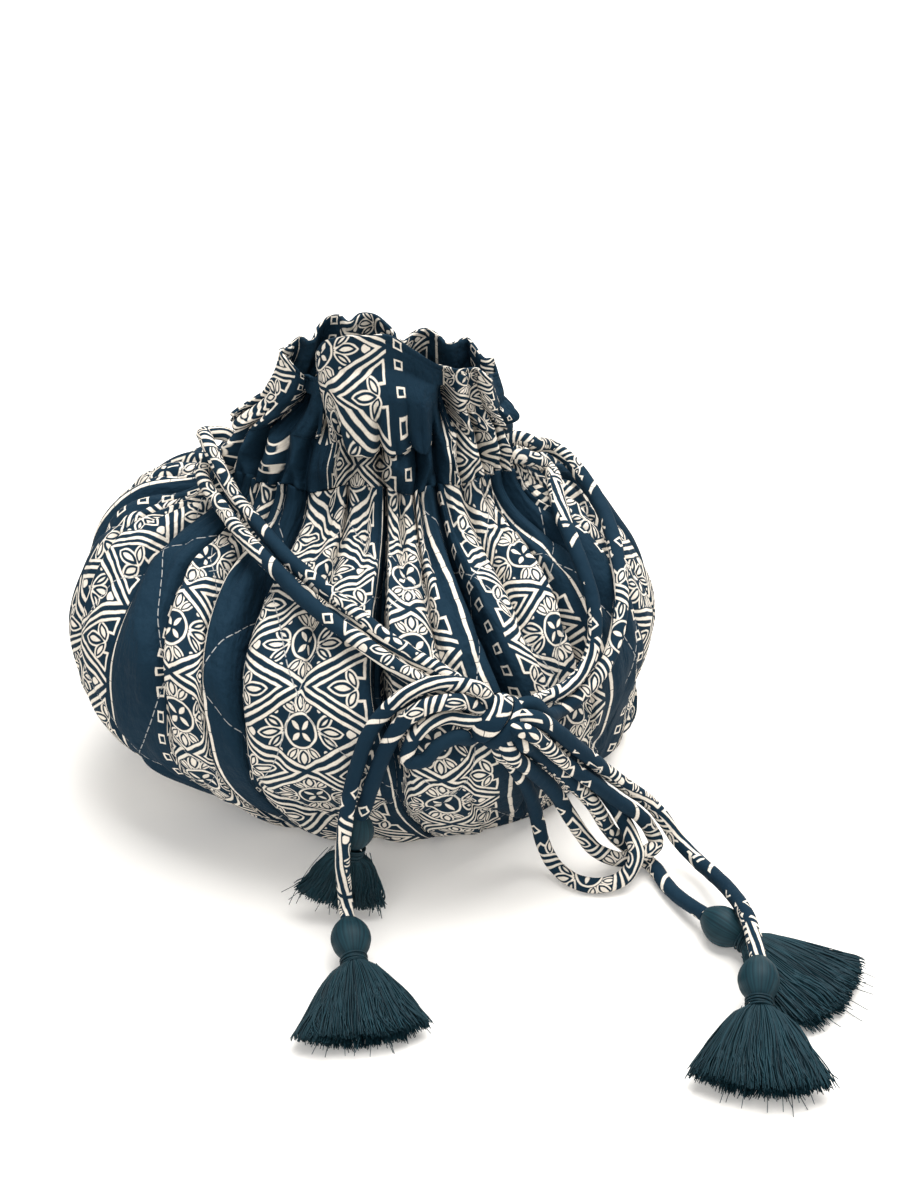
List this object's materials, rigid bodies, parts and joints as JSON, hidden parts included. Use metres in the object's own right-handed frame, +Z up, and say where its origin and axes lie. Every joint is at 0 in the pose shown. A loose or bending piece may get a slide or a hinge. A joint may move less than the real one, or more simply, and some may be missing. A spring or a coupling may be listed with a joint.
{
  "type": "drawstring pouch",
  "caption": "Round quilted cloth pouch gathered on drawcords, with a frilled open mouth, a tied bow of cloth cords and a thread tassel at each cord end.",
  "frame": {"origin": "centre of the base panel's flat underside, on the floor", "axes": "+Z up out of the mouth, -Y towards the side with the bow, +X to the right seen from the bow's side"},
  "size_m": [0.3291, 0.3391, 0.2062],
  "materials": {
    "quilted_cotton": "matt indigo cotton, block printed in cream, quilted over thin wadding",
    "base_cotton": "matt indigo cotton, quilted",
    "casing_cotton": "matt indigo cotton, block printed, finely gathered",
    "frill_cotton": "matt indigo cotton, block printed, two plain layers",
    "cord_cotton": "turned tube of printed cotton",
    "tassel_thread": "soft teal navy thread with a low sheen",
    "binding_thread": "wound teal navy thread"
  },
  "bodies": {
    "root": {"quilted_body": "quilted_cotton", "base_panel": "base_cotton", "casing": "casing_cotton", "frill": "frill_cotton", "bow_knot": "cord_cotton", "left_strand_a": "cord_cotton", "left_strand_b": "cord_cotton", "right_strand_a": "cord_cotton", "right_strand_b": "cord_cotton", "loop_left": "cord_cotton", "loop_right_lower": "cord_cotton", "loop_right_upper": "cord_cotton", "tail_left_front": "cord_cotton", "tail_left_rear": "cord_cotton", "tail_right_front": "cord_cotton", "tail_right_rear": "cord_cotton", "left_front_tassel_head": "tassel_thread", "left_front_tassel_binding": "binding_thread", "left_front_tassel_skirt": "tassel_thread", "left_rear_tassel_head": "tassel_thread", "left_rear_tassel_binding": "binding_thread", "left_rear_tassel_skirt": "tassel_thread", "right_front_tassel_head": "tassel_thread", "right_front_tassel_binding": "binding_thread", "right_front_tassel_skirt": "tassel_thread", "right_rear_tassel_head": "tassel_thread", "right_rear_tassel_binding": "binding_thread", "right_rear_tassel_skirt": "tassel_thread"}
  },
  "joints": []
}
